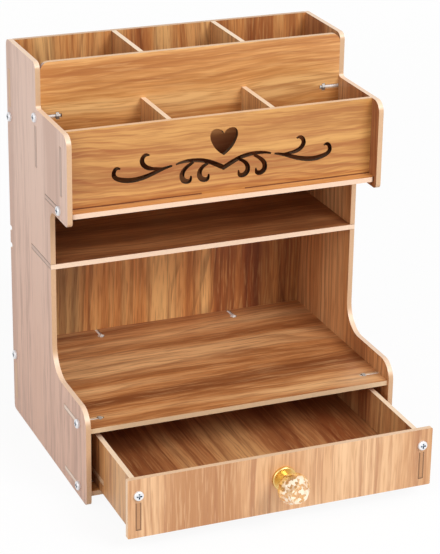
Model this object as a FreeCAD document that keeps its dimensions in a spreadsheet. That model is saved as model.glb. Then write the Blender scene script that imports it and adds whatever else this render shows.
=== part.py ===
import FreeCAD, Part
import os
import re
import Sketcher
from FreeCAD import Placement, Rotation, Vector

# A desk brush holder of flat boards: tabs sit in slots, and screws reach into nuts
# that lie in T-shaped slots. X runs across, -Y is the front, Z is up. Depths below
# are measured from the back edge of the side panels towards the front, and heights
# from the surface that the side panels stand on.

doc = FreeCAD.newDocument("BrushHolder")
sheet = doc.addObject("Spreadsheet::Sheet", "Sizes")

sizes = [
    # whole cabinet
    ("overall_width", 260, "between the outer faces of the side panels"),
    ("panel_depth", 188.5, "side panel, back edge to the front of its foot"),
    ("board", 4, "thickness of every board"),
    ("play", 0.25, "room on each side of a tab in its slot"),
    # side panel outline
    ("column_depth", 107.5, "front edge of the column"),
    ("arm_depth", 150.4, "front edge of the pocket arm"),
    ("tier_depth", 76, "front of the rear tier"),
    ("lip_rise", 15, "desk shelf up to the top of the lip beside it"),
    ("arm_drop", 5.2, "pocket floor down to the underside of the arm"),
    ("pocket_rise", 62.3, "pocket floor up to the top of the pocket tier"),
    ("tier_rise", 36, "pocket tier up to the top of the rear tier"),
    ("foot_round", 4, "corners of the foot"),
    ("lip_round", 15, "front top corner of the desk lip"),
    ("lip_hollow", 23, "hollow between the lip and the column"),
    ("arm_hollow", 9, "hollow between the column and the arm"),
    ("arm_tip_round", 4, "lower front corner of the arm"),
    ("arm_top_round", 9, "upper front corner of the arm"),
    ("step_round", 3, "hollow between the arm and the rear tier"),
    ("top_round", 6, "top corners of the rear tier"),
    ("notch_depth", 4.5, "notch in the back edge"),
    ("notch_width", 4.4, "notch in the back edge"),
    ("notch_round", 1.8, "inner corners of the notch"),
    ("notch_low", 147.8, "height of the lower notch"),
    ("notch_high", 162.8, "height of the upper notch"),
    # back panel
    ("back_inset", 4.8, "back edge of the side panel to the back panel"),
    ("back_foot", 4, "lower edge of the back panel"),
    ("back_tab_drop", 24, "top of the panel down to its upper tab"),
    ("back_tab_high_length", 31, "length of the upper tab"),
    ("back_screw_drop", 63.3, "top of the panel down to its upper side screw"),
    ("back_tab_low", 28, "height of the lower tab"),
    ("back_tab_low_length", 32, "length of the lower tab"),
    ("back_screw_low", 51.6, "height of the lower side screw"),
    # rear tier wall and dividers
    ("wall_screw_drop", 7.5, "top of the pocket tier down to the wall's side screw"),
    ("wall_tab_gap", 7, "side screw down to the wall's side tab"),
    ("wall_tab_rise", 14.3, "pocket floor up to the wall's side tab"),
    ("wall_round", 7, "top corners of the wall"),
    ("lap_rise", 30, "pocket floor up to the cross lap with the dividers"),
    ("divider_tab_length", 24, "length of the tabs under a divider"),
    ("divider_back_rise", 32.3, "pocket floor up to the tab in the back panel"),
    ("divider_back_drop", 30, "top of the rear tier down to that tab"),
    # pocket floor and pocket front
    ("floor_level", 220.7, "underside of the pocket floor"),
    ("floor_setback", 3.3, "front of the arm to the front of the pocket floor"),
    ("floor_round", 3, "front corners of the pocket floor"),
    ("floor_tab_rear", 20, "front of the rear tier to the floor's side tab"),
    ("floor_tab_setback", 24.9, "front of the arm to the floor's side tab"),
    ("floor_screw_setback", 20.2, "front of the arm to the floor's side screw"),
    ("front_setback", 17, "front of the arm to the back face of the pocket front"),
    ("front_tab_rise", 11.3, "pocket floor up to the side tab of the pocket front"),
    ("front_tab_drop", 12, "top of the pocket tier down to that tab"),
    ("lower_tab_length", 26, "length of the tabs under the wall and pocket front"),
    # heart and scrolls cut through the pocket front
    ("flourish_span", 180.4, "between the outer ends of the scrolls"),
    ("flourish_offset", 1, "middle of the case to the middle of the heart"),
    ("flourish_lift", 19.8, "pocket floor to the lowest point of the middle stem"),
    ("flourish_line", 3.9, "width of the middle stem"),
    # shelves and base
    ("shelf_level", 166, "underside of the middle shelf"),
    ("shelf_notch_length", 49.7, "notch for it in the front edge of the column"),
    ("desk_level", 60.5, "underside of the desk shelf"),
    ("desk_setback", 2.1, "front of the foot to the front of the desk shelf"),
    ("desk_tab_setback", 25, "front of the foot to the desk shelf's side tab"),
    ("desk_tab_length", 27.5, "length of the side tab"),
    ("desk_screw_setback", 19, "front of the foot to the side screw"),
    ("desk_back_screw", 60, "middle of the case to a screw from behind"),
    ("base_level", 7, "underside of the base board"),
    ("base_setback", 2.5, "front of the foot to the front of the base board"),
    ("base_tab_setback", 25, "front of the foot to the base board's side tab"),
    ("base_tab_length", 28, "length of the side tab"),
    ("base_screw_setback", 19, "front of the foot to the side screw"),
    ("base_back_tab", 60, "middle of the case to a tab in the back panel"),
    ("base_back_tab_length", 30, "length of that tab"),
    # drawer
    ("drawer_out", 80.9, "how far the drawer is pulled out at rest"),
    ("drawer_setback", 2, "front of the foot to the face of the closed drawer"),
    ("drawer_rear_room", 5.7, "back panel to the closed drawer"),
    ("drawer_end_room", 1, "side panel to the end of the drawer front"),
    ("drawer_front_room", 0.5, "above and below the drawer front"),
    ("drawer_front_round", 1, "corners of the drawer front"),
    ("drawer_side_room", 7.5, "side panel to the drawer side"),
    ("drawer_side_lift", 0.3, "base board to the drawer sides"),
    ("drawer_headroom", 6.1, "drawer sides to the desk shelf"),
    ("drawer_back_end_room", 3, "side panel to the end of the drawer back"),
    ("drawer_back_lift", 4, "base board to the drawer back"),
    ("drawer_tab_rise", 6.2, "lower edge of a drawer side to its end tabs"),
    ("drawer_tab_gap", 6.1, "end tab up to the screw above it"),
    ("drawer_screw_drop", 7.9, "upper edge of a drawer side to the screw"),
    ("drawer_floor_lift", 8.3, "base board to the drawer bottom"),
    ("drawer_floor_tab_length", 27, "side tab of the drawer bottom"),
    # screws and nuts
    ("screw_radius", 1.5, "shank"),
    ("screw_length", 20, "under the head"),
    ("screw_room", 0.15, "round the shank in a board's hole"),
    ("head_radius", 3.8, "pan head"),
    ("head_height", 2.2, "pan head"),
    ("head_round", 1.2, "rounded rim of the head"),
    ("recess_span", 4.4, "cross recess, tip to tip"),
    ("recess_width", 1.2, "cross recess, width of an arm"),
    ("recess_depth", 1.1, "cross recess"),
    ("nut_across", 5.5, "across the flats"),
    ("nut_thickness", 2.4, "along the screw"),
    ("nut_room", 0.1, "round the shank in the nut"),
    ("screw_past_nut", 1.3, "end of the screw beyond the nut"),
    ("slot_room", 0.1, "T-slot, on each side of the shank"),
    ("slot_end_room", 1, "T-slot, beyond the end of the screw"),
    # knob
    ("knob_rise", 28.1, "lower edge of the drawer front to the knob's axis"),
    ("knob_reach", 29.5, "drawer front to the front of the crystal"),
    ("flange_radius", 9.75, "collar flange"),
    ("flange_thickness", 2.6, "collar flange"),
    ("flange_round", 1, "rim of the flange"),
    ("neck_radius", 5.2, "collar neck"),
    ("neck_reach", 6, "drawer front to the end of the neck"),
    ("cup_radius", 8.4, "collar cup"),
    ("cup_reach", 10, "drawer front to the crystal's seat"),
    ("thread_radius", 2, "knob screw"),
    ("thread_length", 11, "knob screw under its head"),
    ("thread_end_room", 1, "collar bore beyond the end of the knob screw"),
    ("crystal_radius", 12.9, "girdle of the crystal"),
    ("crystal_seat_radius", 7.6, "back of the crystal"),
    ("crystal_table_radius", 7.4, "front facet of the crystal"),
    ("girdle_back", 17, "drawer front to the back of the girdle"),
    ("girdle_front", 20.5, "drawer front to the front of the girdle"),
]

# places that follow from those sizes, so that boards that meet stay together
places = {
    "half_width": "overall_width / 2",
    "inner": "overall_width / 2 - board",
    "half_length": "(drawer_line + drawer_out + knob_reach) / 2",
    "back_face": "back_inset + board",
    "base_top": "base_level + board",
    "floor_top": "floor_level + board",
    "lip_height": "desk_level + board + lip_rise",
    "arm_height": "floor_level - arm_drop",
    "pocket_height": "floor_top + pocket_rise",
    "panel_height": "pocket_height + tier_rise",
    "back_tab_high": "panel_height - back_tab_drop - back_tab_high_length / 2",
    "back_screw_high": "panel_height - back_screw_drop",
    "wall_screw": "pocket_height - wall_screw_drop",
    "wall_tab": "(wall_screw - wall_tab_gap + floor_top + wall_tab_rise) / 2",
    "wall_tab_length": "wall_screw - wall_tab_gap - floor_top - wall_tab_rise",
    "divider_offset": "(overall_width - 4 * board) / 6 + board / 2",
    "divider_tab_rear": "(back_face + tier_depth - board) / 2",
    "divider_tab_front": "(tier_depth + front_inset) / 2",
    "divider_back_tab": "(floor_top + divider_back_rise + panel_height - divider_back_drop) / 2",
    "divider_back_tab_length": "panel_height - divider_back_drop - floor_top - divider_back_rise",
    "floor_depth": "arm_depth - floor_setback",
    "floor_tab": "(tier_depth + floor_tab_rear + arm_depth - floor_tab_setback) / 2",
    "floor_tab_length": "arm_depth - floor_tab_setback - tier_depth - floor_tab_rear",
    "floor_screw": "arm_depth - floor_screw_setback",
    "front_inset": "arm_depth - front_setback",
    "front_tab": "(floor_top + front_tab_rise + pocket_height - front_tab_drop) / 2",
    "front_tab_length": "pocket_height - front_tab_drop - floor_top - front_tab_rise",
    "lower_tab_offset": "2 * divider_offset",
    "shelf_notch": "column_depth - shelf_notch_length",
    "desk_depth": "panel_depth - desk_setback",
    "desk_tab": "panel_depth - desk_tab_setback - desk_tab_length / 2",
    "desk_screw": "panel_depth - desk_screw_setback",
    "base_depth": "panel_depth - base_setback",
    "base_tab": "panel_depth - base_tab_setback - base_tab_length / 2",
    "base_screw": "panel_depth - base_screw_setback",
    # the drawer, closed
    "drawer_zero": "half_length - drawer_out",
    "drawer_line": "panel_depth - drawer_setback",
    "drawer_inner": "drawer_line - board",
    "drawer_rear": "back_face + drawer_rear_room",
    "drawer_front_half": "inner - drawer_end_room",
    "drawer_front_low": "base_top + drawer_front_room",
    "drawer_front_top": "desk_level - drawer_front_room",
    "drawer_box_half": "inner - drawer_side_room",
    "drawer_side": "drawer_box_half - board / 2",
    "drawer_side_low": "base_top + drawer_side_lift",
    "drawer_side_top": "desk_level - drawer_headroom",
    "drawer_back_half": "inner - drawer_back_end_room",
    "drawer_back_low": "base_top + drawer_back_lift",
    "drawer_screw": "drawer_side_top - drawer_screw_drop",
    "drawer_tab": "(drawer_side_low + drawer_tab_rise + drawer_screw - drawer_tab_gap) / 2",
    "drawer_tab_length": "drawer_screw - drawer_tab_gap - drawer_side_low - drawer_tab_rise",
    "drawer_floor_level": "base_top + drawer_floor_lift",
    "drawer_floor_tab": "(drawer_line + drawer_rear) / 2",
    "knob_height": "drawer_front_low + knob_rise",
    # screws, nuts and what they go through
    "screw_hole_radius": "screw_radius + screw_room",
    "nut_bore": "screw_radius + nut_room",
    "nut_reach": "screw_length - screw_past_nut - nut_thickness",
    "slot_width": "2 * (screw_radius + slot_room)",
    "slot_reach": "screw_length + slot_end_room",
    "thread_hole_radius": "thread_radius + screw_room",
    "thread_bore_depth": "thread_length - board + thread_end_room",
}

for row, (alias, number, note) in enumerate(sizes, start=1):
    sheet.set("A%d" % row, note)
    sheet.set("B%d" % row, str(number))
    sheet.setAlias("B%d" % row, alias)
doc.recompute()

aliases = {alias for alias, number, note in sizes}


def linked(formula):
    # a formula written with plain names becomes one that reads the sheet
    def swap(found):
        word = found.group()
        if word in places:
            return "(" + linked(places[word]) + ")"
        return "Sizes." + word if word in aliases else word
    return re.sub(r"[a-z_]+", swap, formula)


def number(formula):
    return float(sheet.evalExpression(linked(formula)))


def minus(formula):
    return "-(%s)" % formula


def plus(formula, step):
    return "(%s) + (%s)" % (formula, step)


# ---- outlines: closed lists of corners (across, up, radius or None) ----

edges = {
    # name: (runs along, sense of the run, sign of the way into the board)
    "low": (0, "+", "+"),
    "right": (1, "+", "-"),
    "top": (0, "-", "-"),
    "left": (1, "-", "+"),
}


def detour(edge, line, centre, steps):
    # steps are (distance past the centre, distance into the board)
    axis, sense, inward = edges[edge]
    corners = []
    for past, into in steps:
        along = "(%s) %s (%s)" % (centre, sense, past)
        across = "(%s) %s (%s)" % (line, inward, into)
        corners.append((along, across, None) if axis == 0 else (across, along, None))
    return corners


def tab(edge, line, centre, length):
    half = "(%s) / 2" % length
    steps = [(minus(half), "0"), (minus(half), "-board"), (half, "-board"), (half, "0")]
    return detour(edge, line, centre, steps)


def gap(edge, line, centre, width, depth):
    half = "(%s) / 2" % width
    steps = [(minus(half), "0"), (minus(half), depth), (half, depth), (half, "0")]
    return detour(edge, line, centre, steps)


def nut_slot(edge, line, centre):
    # T-shaped slot: room for the shank, and a cross pocket that holds the nut
    shank = "slot_width / 2"
    nut = "nut_across / 2 + play"
    near = "nut_reach - play - board"
    far = "nut_reach + nut_thickness + play - board"
    end = "slot_reach - board"
    half = [(shank, "0"), (shank, near), (nut, near), (nut, far), (shank, far), (shank, end)]
    first = [(minus(past), into) for past, into in half]
    return detour(edge, line, centre, first + half[::-1])


def rectangle(across, up, width, height, radius=None):
    left = "(%s) - (%s) / 2" % (across, width)
    right = "(%s) + (%s) / 2" % (across, width)
    low = "(%s) - (%s) / 2" % (up, height)
    high = "(%s) + (%s) / 2" % (up, height)
    return [(left, low, radius), (right, low, radius), (right, high, radius), (left, high, radius)]


def across_slot(across, up, length):
    # slot for a tab of a level board
    return rectangle(across, up, length + " + 2 * play", "board + 2 * play")


def upright_slot(across, up, length):
    # slot for a tab of an upright board
    return rectangle(across, up, "board + 2 * play", length + " + 2 * play")


def hexagon(across, up, flats):
    # flats: the direction in which two flats face, 0 across or 1 up
    side = "nut_across / 2 / sqrt(3)"
    tip = "nut_across / sqrt(3)"
    half = "nut_across / 2"
    ring = [(half, minus(side)), (half, side), ("0", tip),
            (minus(half), side), (minus(half), minus(side)), ("0", minus(tip))]
    if flats == 1:
        ring = [(b, minus(a)) for a, b in ring]
    return [(plus(across, a), plus(up, b), None) for a, b in ring]


def cross(across, up):
    wide = "recess_width / 2"
    far = "recess_span / 2"
    ring = [(far, minus(wide)), (far, wide), (wide, wide), (wide, far),
            (minus(wide), far), (minus(wide), wide), (minus(far), wide), (minus(far), minus(wide)),
            (minus(wide), minus(wide)), (minus(wide), minus(far)), (wide, minus(far)), (wide, minus(wide))]
    return [(plus(across, a), plus(up, b), None) for a, b in ring]


# ---- bodies and sketches ----

class Drawing:
    # one sketch on an origin plane of its own body, every point bound to the sheet

    def __init__(self, body, name, plane, lift=None):
        self.sketch = body.newObject("Sketcher::SketchObject", name)
        planes = [item for item in body.Origin.OriginFeatures if item.Role == plane]
        self.sketch.AttachmentSupport = [(planes[0], "")]
        self.sketch.MapMode = "FlatFace"
        if lift:
            self.sketch.setExpression("AttachmentOffset.Base.z", linked(lift))
        self.shapes = []
        self.limits = []
        self.formulas = {}

    def pin(self, shape, point, across, up):
        for kind, formula in (("DistanceX", across), ("DistanceY", up)):
            self.formulas[len(self.limits)] = formula
            self.limits.append(Sketcher.Constraint(kind, -1, 1, shape, point, number(formula)))

    def size(self, shape, formula):
        self.formulas[len(self.limits)] = formula
        self.limits.append(Sketcher.Constraint("Radius", shape, number(formula)))

    def join(self, one, one_end, other, other_end):
        self.limits.append(Sketcher.Constraint("Coincident", one, one_end, other, other_end))

    def circle(self, across, up, radius):
        middle = Vector(number(across), number(up), 0)
        self.shapes.append(Part.Circle(middle, Vector(0, 0, 1), number(radius)))
        self.pin(len(self.shapes) - 1, 3, across, up)
        self.size(len(self.shapes) - 1, radius)

    def loop(self, corners):
        # straight runs between the corners, and an arc at each rounded corner
        spots = [Vector(number(across), number(up), 0) for across, up, radius in corners]
        pieces = []
        for place, (across, up, radius) in enumerate(corners):
            spot = spots[place]
            if radius is None:
                pieces.append([(across, up, spot)])
                continue
            back = (spots[place - 1] - spot).normalize()
            ahead = (spots[(place + 1) % len(spots)] - spot).normalize()
            reach = number(radius)
            ends = []
            for way in (back, ahead):
                end_across = "(%s) + (%d) * (%s)" % (across, round(way.x), radius)
                end_up = "(%s) + (%d) * (%s)" % (up, round(way.y), radius)
                ends.append((end_across, end_up, spot + way * reach))
            pieces.append(ends + [(spot + (back + ahead) * reach, radius)])
        first = len(self.shapes)
        joints = []
        for place, piece in enumerate(pieces):
            if len(piece) == 3:
                joints.append(self.arc(piece))
            following = pieces[(place + 1) % len(pieces)]
            leave = piece[1] if len(piece) == 3 else piece[0]
            self.shapes.append(Part.LineSegment(leave[2], following[0][2]))
            line = len(self.shapes) - 1
            self.pin(line, 1, leave[0], leave[1])
            if len(following) == 3:
                self.pin(line, 2, following[0][0], following[0][1])
            joints.append((line, 1, line, 2))
        for place, (shape, start, last, end) in enumerate(joints):
            other = joints[(place + 1) % len(joints)]
            self.join(last, end, other[0], other[1])

    def arc(self, piece):
        enter, leave, (middle, radius) = piece
        turn = (enter[2] - middle).cross(leave[2] - middle).z
        start, end = (enter, leave) if turn > 0 else (leave, enter)
        axis = Vector(0, 0, 1)
        ring = Part.Circle(middle, axis, number(radius))
        self.shapes.append(Part.ArcOfCircle(ring, ring.parameter(start[2]), ring.parameter(end[2])))
        shape = len(self.shapes) - 1
        self.size(shape, radius)
        return (shape, 1, shape, 2) if turn > 0 else (shape, 2, shape, 1)

    def finish(self):
        self.sketch.addGeometry(self.shapes, False)
        self.sketch.addConstraint(self.limits)
        for place, formula in self.formulas.items():
            self.sketch.setExpression("Constraints[%d]" % place, linked(formula))
        return self.sketch


nodes = []


def place(piece, x, y, z):
    for axis, formula in zip("xyz", (x, y, z)):
        piece.setExpression("Placement.Base." + axis, linked(formula))


def new_body(label, x, y, z):
    body = doc.addObject("PartDesign::Body", label)
    body.Label = label
    place(body, x, y, z)
    nodes.append(body)
    return body


def pad(body, sketch, length, turned=False):
    feature = body.newObject("PartDesign::Pad", sketch.Name + "_pad")
    feature.Profile = sketch
    feature.Reversed = turned
    feature.setExpression("Length", linked(length))
    sketch.Visibility = False
    body.Tip = feature
    return feature


def board(label, plane, x, y, z, outline, slots=(), holes=()):
    # one flat board, cut with its slots and holes from a single drawing
    body = new_body(label, x, y, z)
    drawing = Drawing(body, label + "_outline", plane)
    drawing.loop(outline)
    for slot in slots:
        drawing.loop(slot)
    for across, up, radius in holes:
        drawing.circle(across, up, radius)
    pad(body, drawing.finish(), "board")
    return body


# ---- cabinet boards ----

side_screws = [
    # (towards the back, up, way the nut's flats face)
    (minus("tier_depth - board / 2"), "wall_screw", 1),
    (minus("floor_screw"), "floor_level + board / 2", 0),
    (minus("desk_screw"), "desk_level + board / 2", 0),
    (minus("base_screw"), "base_level + board / 2", 0),
    (minus("back_inset + board / 2"), "back_screw_high", 1),
    (minus("back_inset + board / 2"), "back_screw_low", 1),
]


def notch(height):
    corners = gap("right", "0", height, "notch_width", "notch_depth")
    outer_low, inner_low, inner_high, outer_high = corners
    inner_low = inner_low[:2] + ("notch_round",)
    inner_high = inner_high[:2] + ("notch_round",)
    return [outer_low, inner_low, inner_high, outer_high]


def side_panel(label, x):
    shelf_low = "shelf_level - play"
    shelf_high = "shelf_level + board + play"
    shelf_end = minus("shelf_notch - play")
    column = minus("column_depth")
    outline = [(minus("panel_depth"), "0", "foot_round"), ("0", "0", "foot_round")]
    outline += notch("notch_low") + notch("notch_high")
    outline += [
        ("0", "panel_height", "top_round"),
        (minus("tier_depth"), "panel_height", "top_round"),
        (minus("tier_depth"), "pocket_height", "step_round"),
        (minus("arm_depth"), "pocket_height", "arm_top_round"),
        (minus("arm_depth"), "arm_height", "arm_tip_round"),
        (column, "arm_height", "arm_hollow"),
        (column, shelf_high, None),
        (shelf_end, shelf_high, None),
        (shelf_end, shelf_low, None),
        (column, shelf_low, None),
        (column, "lip_height", "lip_hollow"),
        (minus("panel_depth"), "lip_height", "lip_round"),
    ]
    back_line = minus("back_inset + board / 2")
    slots = [
        upright_slot(back_line, "back_tab_high", "back_tab_high_length"),
        upright_slot(back_line, "back_tab_low", "back_tab_low_length"),
        upright_slot(minus("tier_depth - board / 2"), "wall_tab", "wall_tab_length"),
        upright_slot(minus("front_inset + board / 2"), "front_tab", "front_tab_length"),
        across_slot(minus("floor_tab"), "floor_level + board / 2", "floor_tab_length"),
        across_slot(minus("desk_tab"), "desk_level + board / 2", "desk_tab_length"),
        across_slot(minus("base_tab"), "base_level + board / 2", "base_tab_length"),
    ]
    holes = [(across, up, "screw_hole_radius") for across, up, flats in side_screws]
    return board(label, "YZ_Plane", x, "half_length", "0", outline, slots, holes)


def back_panel():
    top = "panel_height"
    outline = [(minus("inner"), "back_foot", None), ("inner", "back_foot", None)]
    outline += tab("right", "inner", "back_tab_low", "back_tab_low_length")
    outline += nut_slot("right", "inner", "back_screw_low")
    outline += nut_slot("right", "inner", "back_screw_high")
    outline += tab("right", "inner", "back_tab_high", "back_tab_high_length")
    outline += [("inner", top, None), (minus("inner"), top, None)]
    outline += tab("left", minus("inner"), "back_tab_high", "back_tab_high_length")
    outline += nut_slot("left", minus("inner"), "back_screw_high")
    outline += nut_slot("left", minus("inner"), "back_screw_low")
    outline += tab("left", minus("inner"), "back_tab_low", "back_tab_low_length")
    slots = []
    holes = []
    for sign in ("-", ""):
        slots.append(across_slot(sign + "lower_tab_offset", "floor_level + board / 2", "lower_tab_length"))
        slots.append(across_slot(sign + "base_back_tab", "base_level + board / 2", "base_back_tab_length"))
        slots.append(upright_slot(sign + "divider_offset", "divider_back_tab", "divider_back_tab_length"))
        holes.append((sign + "desk_back_screw", "desk_level + board / 2", "screw_hole_radius"))
    y = "half_length - back_inset"
    return board("back_panel", "XZ_Plane", "0", y, "0", outline, slots, holes)


def rear_tier_wall():
    top = "panel_height"
    lap = "board + 2 * play"
    outline = [(minus("inner"), "floor_top", None)]
    outline += tab("low", "floor_top", "-lower_tab_offset", "lower_tab_length")
    outline += gap("low", "floor_top", "-divider_offset", lap, "lap_rise")
    outline += tab("low", "floor_top", "0", "lower_tab_length")
    outline += gap("low", "floor_top", "divider_offset", lap, "lap_rise")
    outline += tab("low", "floor_top", "lower_tab_offset", "lower_tab_length")
    outline += [("inner", "floor_top", None)]
    outline += tab("right", "inner", "wall_tab", "wall_tab_length")
    outline += nut_slot("right", "inner", "wall_screw")
    outline += [("inner", top, "wall_round"), (minus("inner"), top, "wall_round")]
    outline += nut_slot("left", minus("inner"), "wall_screw")
    outline += tab("left", minus("inner"), "wall_tab", "wall_tab_length")
    y = "half_length - tier_depth + board"
    return board("rear_tier_wall", "XZ_Plane", "0", y, "0", outline)


def divider(label, sign):
    rear = minus("back_face")
    front = minus("front_inset")
    lap = "floor_top + lap_rise"
    outline = [(front, "floor_top", None)]
    outline += tab("low", "floor_top", "-divider_tab_front", "divider_tab_length")
    outline += tab("low", "floor_top", "-divider_tab_rear", "divider_tab_length")
    outline += [(rear, "floor_top", None)]
    outline += tab("right", rear, "divider_back_tab", "divider_back_tab_length")
    outline += [
        (rear, "panel_height", None),
        (minus("tier_depth - board - play"), "panel_height", None),
        (minus("tier_depth - board - play"), lap, None),
        (minus("tier_depth + play"), lap, None),
        (minus("tier_depth + play"), "pocket_height", None),
        (front, "pocket_height", None),
    ]
    return board(label, "YZ_Plane", sign + "divider_offset - board / 2", "half_length", "0", outline)


def pocket_front():
    outline = [(minus("inner"), "floor_top", None)]
    outline += tab("low", "floor_top", "-lower_tab_offset", "lower_tab_length")
    outline += tab("low", "floor_top", "lower_tab_offset", "lower_tab_length")
    outline += [("inner", "floor_top", None)]
    outline += tab("right", "inner", "front_tab", "front_tab_length")
    outline += [("inner", "pocket_height", None), (minus("inner"), "pocket_height", None)]
    outline += tab("left", minus("inner"), "front_tab", "front_tab_length")
    y = "half_length - front_inset"
    blank = board("pocket_front_blank", "XZ_Plane", "0", y, "0", outline)
    nodes.remove(blank)
    scrolls = doc.addObject("Part::Feature", "flourish")
    scrolls.Shape = flourish()
    middle = Vector(number("flourish_offset"), number(y), number("floor_top") + number("flourish_lift"))
    scrolls.Placement = Placement(middle, Rotation())
    cut = doc.addObject("Part::Cut", "pocket_front_panel")
    cut.Label = "pocket_front_panel"
    cut.Base = blank
    cut.Tool = scrolls
    nodes.append(cut)


def pocket_floor():
    rear = minus("back_face")
    front = minus("floor_depth")
    outline = [(minus("inner"), front, "floor_round"), ("inner", front, "floor_round")]
    outline += nut_slot("right", "inner", "-floor_screw")
    outline += tab("right", "inner", "-floor_tab", "floor_tab_length")
    outline += [("inner", rear, None)]
    outline += tab("top", rear, "lower_tab_offset", "lower_tab_length")
    outline += tab("top", rear, "-lower_tab_offset", "lower_tab_length")
    outline += [(minus("inner"), rear, None)]
    outline += tab("left", minus("inner"), "-floor_tab", "floor_tab_length")
    outline += nut_slot("left", minus("inner"), "-floor_screw")
    wall_line = minus("tier_depth - board / 2")
    front_line = minus("front_inset + board / 2")
    slots = [across_slot("0", wall_line, "lower_tab_length")]
    for sign in ("-", ""):
        slots.append(across_slot(sign + "lower_tab_offset", wall_line, "lower_tab_length"))
        slots.append(across_slot(sign + "lower_tab_offset", front_line, "lower_tab_length"))
        slots.append(upright_slot(sign + "divider_offset", "-divider_tab_rear", "divider_tab_length"))
        slots.append(upright_slot(sign + "divider_offset", "-divider_tab_front", "divider_tab_length"))
    return board("pocket_floor", "XY_Plane", "0", "half_length", "floor_level", outline, slots)


def middle_shelf():
    rear = minus("back_face")
    shoulder = minus("shelf_notch")
    front = minus("column_depth")
    outline = [
        (minus("half_width"), front, None),
        ("half_width", front, None),
        ("half_width", shoulder, None),
        ("inner", shoulder, None),
        ("inner", rear, None),
        (minus("inner"), rear, None),
        (minus("inner"), shoulder, None),
        (minus("half_width"), shoulder, None),
    ]
    return board("middle_shelf", "XY_Plane", "0", "half_length", "shelf_level", outline)


def desk_shelf():
    rear = minus("back_face")
    front = minus("desk_depth")
    outline = [(minus("inner"), front, None), ("inner", front, None)]
    outline += nut_slot("right", "inner", "-desk_screw")
    outline += tab("right", "inner", "-desk_tab", "desk_tab_length")
    outline += [("inner", rear, None)]
    outline += nut_slot("top", rear, "desk_back_screw")
    outline += nut_slot("top", rear, "-desk_back_screw")
    outline += [(minus("inner"), rear, None)]
    outline += tab("left", minus("inner"), "-desk_tab", "desk_tab_length")
    outline += nut_slot("left", minus("inner"), "-desk_screw")
    return board("desk_shelf", "XY_Plane", "0", "half_length", "desk_level", outline)


def base_board():
    rear = minus("back_face")
    front = minus("base_depth")
    outline = [(minus("inner"), front, None), ("inner", front, None)]
    outline += nut_slot("right", "inner", "-base_screw")
    outline += tab("right", "inner", "-base_tab", "base_tab_length")
    outline += [("inner", rear, None)]
    outline += tab("top", rear, "base_back_tab", "base_back_tab_length")
    outline += tab("top", rear, "-base_back_tab", "base_back_tab_length")
    outline += [(minus("inner"), rear, None)]
    outline += tab("left", minus("inner"), "-base_tab", "base_tab_length")
    outline += nut_slot("left", minus("inner"), "-base_screw")
    return board("base_board", "XY_Plane", "0", "half_length", "base_level", outline)


# ---- heart and scrolls ----

# each line: (across, up, share of the stem's width), for the right-hand half, with
# the lowest point of the stem at nought; drawn 180.4 wide
stem = [(-1.5, -1, 1), (7.9, 3.9, 0.95), (15, 6.8, 0.9), (22.4, 8.2, 0.85), (30.5, 8.5, 0.7), (39.5, 6.7, 0.35)]
inner_curl = [(12.8, 4.4, 0.5), (17.8, 1.9, 0.8), (20.1, -2.4, 1), (18.4, -7.2, 1.1),
              (14.3, -8.2, 0.95), (12.5, -4, 0.3)]
outer_curl = [(25, 7, 0.5), (31, 3.2, 0.8), (34.3, -1.6, 1), (33, -6.9, 1.1),
              (28.9, -8, 0.95), (27.1, -3.8, 0.3)]
scroll = [(42.4, 6.1, 0.35), (54, 3.2, 0.8), (63.6, 0, 0.95), (74.5, -1.7, 1.05), (84, -0.4, 1),
          (89.6, 3.8, 0.9), (87.9, 8.8, 0.75), (84.4, 8.2, 0.3)]
branch = [(48, 5.2, 0), (57, 5.4, 0.7), (64.3, 8, 0.95), (67, 12.8, 0.95), (64.9, 16.8, 0.8), (60.9, 16.5, 0.3)]
heart = [(0, 9.7), (6.5, 15), (10.5, 21.8), (11.4, 27), (9.2, 30.9), (4.6, 31.3), (0, 27)]
drawn_span = 180.4


def spline(points):
    curve = Part.BSplineCurve()
    curve.interpolate(points)
    return curve


def stroke(line, scale, width):
    # a line that swells and tapers, as a flat face in the XZ plane
    middle = [Vector(across * scale, 0, up * scale) for across, up, share in line]
    path = spline(middle)
    sides = ([], [])
    for point, (across, up, share) in zip(middle, line):
        tangent = path.tangent(path.parameter(point))[0]
        normal = tangent.cross(Vector(0, 1, 0)).normalize()
        sides[0].append(point + normal * (width * share / 2))
        sides[1].append(point - normal * (width * share / 2))
    edges = [spline(sides[0]).toShape(), spline(sides[1]).toShape()]
    for end in (0, -1):
        if line[end][2] > 0:
            edges.append(Part.makeLine(sides[0][end], sides[1][end]))
    return Part.Face(Part.Wire(Part.__sortEdges__(edges)))


def flourish():
    scale = number("flourish_span") / drawn_span
    width = number("flourish_line")
    faces = [stroke(line, scale, width) for line in (stem, inner_curl, outer_curl, scroll, branch)]
    outline = spline([Vector(across * scale, 0, up * scale) for across, up in heart]).toShape()
    spine = Part.makeLine(Vector(0, 0, heart[-1][1] * scale), Vector(0, 0, heart[0][1] * scale))
    faces.append(Part.Face(Part.Wire([outline, spine])))
    through = Vector(0, -3 * number("board"), 0)
    solids = [face.extrude(through) for face in faces]
    reach = number("flourish_span")
    right_side = Part.makeBox(reach, reach, 2 * reach, Vector(0, -reach / 2, -reach))
    half = solids[0].fuse(solids[1:]).common(right_side)
    cutter = half.fuse(half.mirror(Vector(0, 0, 0), Vector(1, 0, 0))).removeSplitter()
    cutter.translate(Vector(0, number("board"), 0))
    return cutter


# ---- drawer ----

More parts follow.
